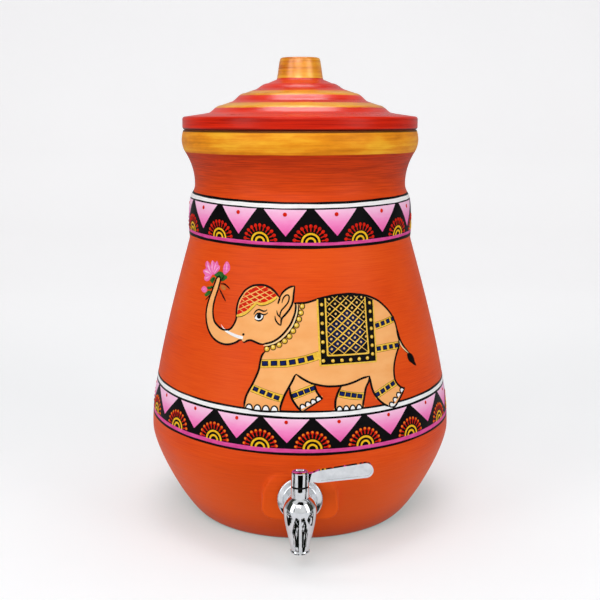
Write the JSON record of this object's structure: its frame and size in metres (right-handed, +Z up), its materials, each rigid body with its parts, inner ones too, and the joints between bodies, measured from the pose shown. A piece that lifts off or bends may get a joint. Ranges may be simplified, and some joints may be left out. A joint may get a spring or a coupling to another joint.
{
  "type": "clay water pot with tap",
  "caption": "Round-bellied clay pot that stands on a flat foot, with a loose stepped lid and a lever tap clamped through a flat pad low on its wall.",
  "frame": {"origin": "centre of the pot's flat foot, on the plane that it stands on", "axes": "+Z up along the pot's axis, the tap looks along -Y, the closed lever points along +X"},
  "size_m": [0.265, 0.3014, 0.3965],
  "materials": {
    "painted_clay": "matt orange-red paint with painted bands and an elephant, gold rim",
    "red_clay": "semi-gloss red paint with gold rings and knob",
    "chrome_plate": "bright chrome plate",
    "black_rubber": "matt",
    "steel": "plain",
    "white_plastic": "moulded",
    "black_plastic": "moulded"
  },
  "bodies": {
    "pot": {"clay_pot": "painted_clay", "tap_body": "chrome_plate", "front_gasket": "black_rubber", "rear_gasket": "black_rubber", "backing_washer": "steel", "back_nut": "white_plastic", "port_seal": "black_rubber"},
    "lid": {"clay_lid": "red_clay"},
    "handle": {"lever": "chrome_plate", "lever_screw": "steel", "lever_cap": "chrome_plate", "valve_plug": "white_plastic", "plug_o_rings": "black_rubber", "stem_washer": "black_plastic"}
  },
  "joints": [
    {"name": "lid_lift", "type": "slide", "parent": "pot", "child": "lid", "axis": [0, 0, 1], "range_m": [0, 0.15]},
    {"name": "lever_turn", "type": "hinge", "parent": "pot", "child": "handle", "pos_m": [0, -0.156, 0.076], "axis": [0, 0, -1], "range_deg": [0, 90]}
  ]
}
